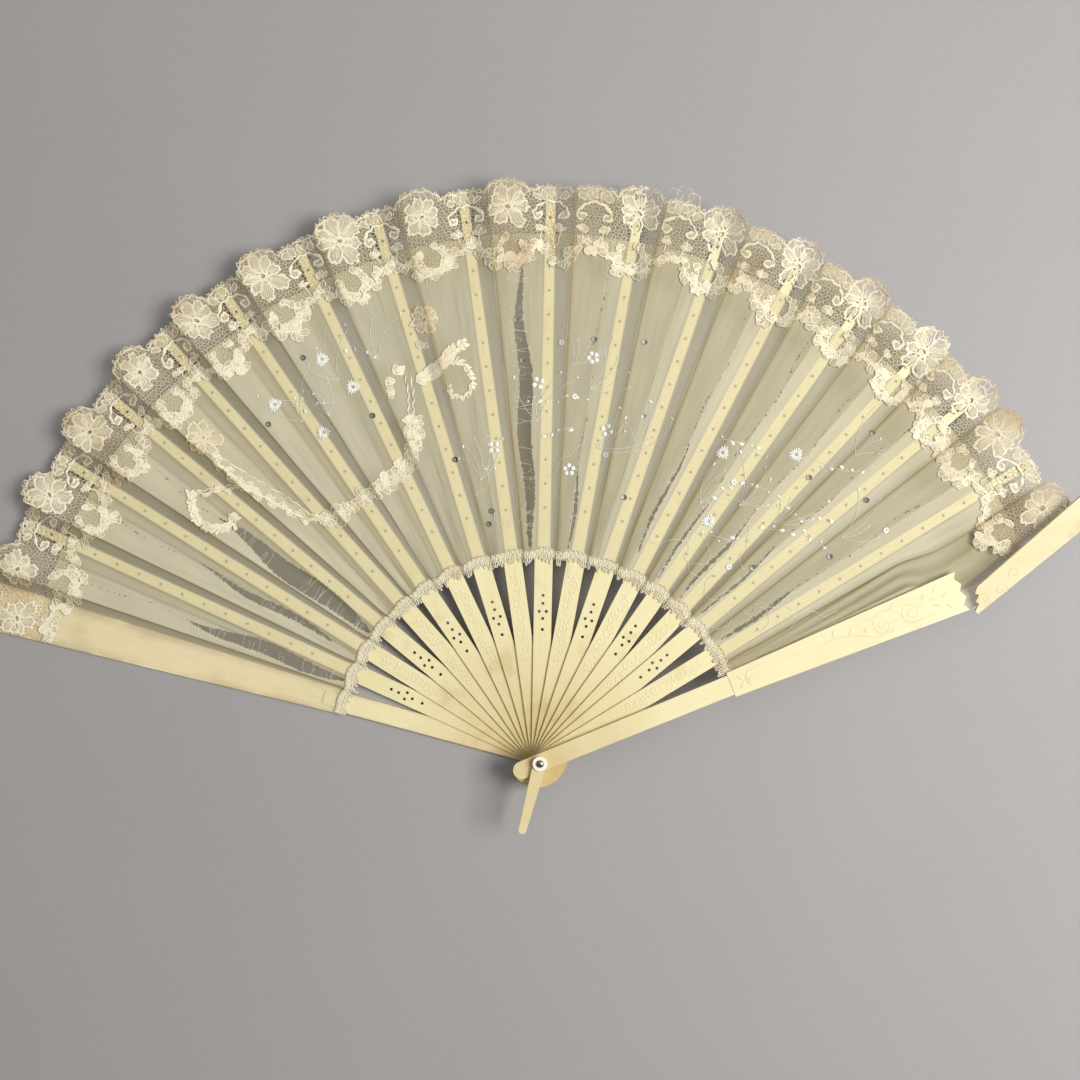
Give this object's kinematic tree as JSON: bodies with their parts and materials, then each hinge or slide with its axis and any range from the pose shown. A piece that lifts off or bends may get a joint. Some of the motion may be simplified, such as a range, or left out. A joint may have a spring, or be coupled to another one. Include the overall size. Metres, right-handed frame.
{
  "type": "folding hand fan",
  "caption": "Folding hand fan: bone sticks and guards on one rivet, pleated sheer gauze leaf with scalloped lace edge, shown fully open.",
  "frame": {"origin": "on the rivet's axis, at the back face of the rear guard, on the surface the open fan lies on", "axes": "+X to the right of the picture, along the open span; +Y away from the rivet, up the picture; +Z along the rivet, towards the front guard"},
  "size_m": [0.5639, 0.3224, 0.0248],
  "materials": {
    "bone": "satin, carved and pierced, yellowed near the pin",
    "pale_bone": "satin polish with fine grain",
    "polished_steel": "polished, a little tarnished",
    "silk_gauze": "sheer plain weave",
    "cotton_lace": "machine lace on hexagonal net"
  },
  "bodies": {
    "rear_guard": {"rear_guard_blade": "pale_bone", "rear_guard_panel": "pale_bone", "rivet_pin": "polished_steel", "front_washer": "pale_bone"},
    "stick_01": {"stick_01": "bone", "gauze_01": "silk_gauze", "lace_01": "cotton_lace"},
    "stick_02": {"stick_02": "bone", "gauze_02": "silk_gauze", "lace_02": "cotton_lace"},
    "stick_03": {"stick_03": "bone", "gauze_03": "silk_gauze", "lace_03": "cotton_lace"},
    "stick_04": {"stick_04": "bone", "gauze_04": "silk_gauze", "lace_04": "cotton_lace"},
    "stick_05": {"stick_05": "bone", "gauze_05": "silk_gauze", "lace_05": "cotton_lace"},
    "stick_06": {"stick_06": "bone", "gauze_06": "silk_gauze", "lace_06": "cotton_lace"},
    "stick_07": {"stick_07": "bone", "gauze_07": "silk_gauze", "lace_07": "cotton_lace"},
    "stick_08": {"stick_08": "bone", "gauze_08": "silk_gauze", "lace_08": "cotton_lace"},
    "stick_09": {"stick_09": "bone", "gauze_09": "silk_gauze", "lace_09": "cotton_lace"},
    "stick_10": {"stick_10": "bone", "gauze_10": "silk_gauze", "lace_10": "cotton_lace"},
    "stick_11": {"stick_11": "bone", "gauze_11": "silk_gauze", "lace_11": "cotton_lace"},
    "stick_12": {"stick_12": "bone", "gauze_12": "silk_gauze", "lace_12": "cotton_lace"},
    "stick_13": {"stick_13": "bone", "gauze_13": "silk_gauze", "lace_13": "cotton_lace"},
    "stick_14": {"stick_14": "bone", "gauze_14": "silk_gauze", "lace_14": "cotton_lace"},
    "stick_15": {"stick_15": "bone", "gauze_15": "silk_gauze", "lace_15": "cotton_lace"},
    "stick_16": {"stick_16": "bone", "gauze_16": "silk_gauze", "lace_16": "cotton_lace"},
    "front_guard": {"front_guard_blade": "pale_bone", "front_guard_panel": "pale_bone", "front_guard_tip": "pale_bone", "gauze_17": "silk_gauze", "lace_17": "cotton_lace"},
    "loop_arm": {"loop_arm": "pale_bone"}
  },
  "joints": [
    {"name": "fold_01", "type": "hinge", "parent": "rear_guard", "child": "stick_01", "pos_m": [0, 0, 0], "axis": [0, 0, 1], "range_deg": [0, 9.1], "deforming": ["gauze_01", "lace_01"]},
    {"name": "fold_02", "type": "hinge", "parent": "stick_01", "child": "stick_02", "pos_m": [0, 0, 0], "axis": [0, 0, 1], "range_deg": [0, 7.5], "deforming": ["gauze_02", "lace_02"]},
    {"name": "fold_03", "type": "hinge", "parent": "stick_02", "child": "stick_03", "pos_m": [0, 0, 0], "axis": [0, 0, 1], "range_deg": [0, 8], "deforming": ["gauze_03", "lace_03"]},
    {"name": "fold_04", "type": "hinge", "parent": "stick_03", "child": "stick_04", "pos_m": [0, 0, 0], "axis": [0, 0, 1], "range_deg": [0, 8.15], "deforming": ["gauze_04", "lace_04"]},
    {"name": "fold_05", "type": "hinge", "parent": "stick_04", "child": "stick_05", "pos_m": [0, 0, 0], "axis": [0, 0, 1], "range_deg": [0, 7.65], "deforming": ["gauze_05", "lace_05"]},
    {"name": "fold_06", "type": "hinge", "parent": "stick_05", "child": "stick_06", "pos_m": [0, 0, 0], "axis": [0, 0, 1], "range_deg": [0, 8.8], "deforming": ["gauze_06", "lace_06"]},
    {"name": "fold_07", "type": "hinge", "parent": "stick_06", "child": "stick_07", "pos_m": [0, 0, 0], "axis": [0, 0, 1], "range_deg": [0, 8.45], "deforming": ["gauze_07", "lace_07"]},
    {"name": "fold_08", "type": "hinge", "parent": "stick_07", "child": "stick_08", "pos_m": [0, 0, 0], "axis": [0, 0, 1], "range_deg": [0, 9.05], "deforming": ["gauze_08", "lace_08"]},
    {"name": "fold_09", "type": "hinge", "parent": "stick_08", "child": "stick_09", "pos_m": [0, 0, 0], "axis": [0, 0, 1], "range_deg": [0, 8.85], "deforming": ["gauze_09", "lace_09"]},
    {"name": "fold_10", "type": "hinge", "parent": "stick_09", "child": "stick_10", "pos_m": [0, 0, 0], "axis": [0, 0, 1], "range_deg": [0, 9.15], "deforming": ["gauze_10", "lace_10"]},
    {"name": "fold_11", "type": "hinge", "parent": "stick_10", "child": "stick_11", "pos_m": [0, 0, 0], "axis": [0, 0, 1], "range_deg": [0, 8.7], "deforming": ["gauze_11", "lace_11"]},
    {"name": "fold_12", "type": "hinge", "parent": "stick_11", "child": "stick_12", "pos_m": [0, 0, 0], "axis": [0, 0, 1], "range_deg": [0, 8.5], "deforming": ["gauze_12", "lace_12"]},
    {"name": "fold_13", "type": "hinge", "parent": "stick_12", "child": "stick_13", "pos_m": [0, 0, 0], "axis": [0, 0, 1], "range_deg": [0, 7.7], "deforming": ["gauze_13", "lace_13"]},
    {"name": "fold_14", "type": "hinge", "parent": "stick_13", "child": "stick_14", "pos_m": [0, 0, 0], "axis": [0, 0, 1], "range_deg": [0, 7.85], "deforming": ["gauze_14", "lace_14"]},
    {"name": "fold_15", "type": "hinge", "parent": "stick_14", "child": "stick_15", "pos_m": [0, 0, 0], "axis": [0, 0, 1], "range_deg": [0, 6.85], "deforming": ["gauze_15", "lace_15"]},
    {"name": "fold_16", "type": "hinge", "parent": "stick_15", "child": "stick_16", "pos_m": [0, 0, 0], "axis": [0, 0, 1], "range_deg": [0, 8.6], "deforming": ["gauze_16", "lace_16"]},
    {"name": "fold_17", "type": "hinge", "parent": "stick_16", "child": "front_guard", "pos_m": [0, 0, 0], "axis": [0, 0, 1], "range_deg": [0, 9.3], "deforming": ["gauze_17", "lace_17"]},
    {"name": "loop_swing", "type": "hinge", "parent": "rear_guard", "child": "loop_arm", "pos_m": [0, 0, 0], "axis": [0, 0, 1], "continuous": true}
  ],
  "couplings": [
    {"joint": "fold_02", "follows": "fold_01", "ratio": 0.82417},
    {"joint": "fold_03", "follows": "fold_01", "ratio": 0.87912},
    {"joint": "fold_04", "follows": "fold_01", "ratio": 0.8956},
    {"joint": "fold_05", "follows": "fold_01", "ratio": 0.84066},
    {"joint": "fold_06", "follows": "fold_01", "ratio": 0.96703},
    {"joint": "fold_07", "follows": "fold_01", "ratio": 0.92857},
    {"joint": "fold_08", "follows": "fold_01", "ratio": 0.9945},
    {"joint": "fold_09", "follows": "fold_01", "ratio": 0.97253},
    {"joint": "fold_10", "follows": "fold_01", "ratio": 1.0055},
    {"joint": "fold_11", "follows": "fold_01", "ratio": 0.95604},
    {"joint": "fold_12", "follows": "fold_01", "ratio": 0.93407},
    {"joint": "fold_13", "follows": "fold_01", "ratio": 0.84615},
    {"joint": "fold_14", "follows": "fold_01", "ratio": 0.86264},
    {"joint": "fold_15", "follows": "fold_01", "ratio": 0.75275},
    {"joint": "fold_16", "follows": "fold_01", "ratio": 0.94505},
    {"joint": "fold_17", "follows": "fold_01", "ratio": 1.022}
  ]
}
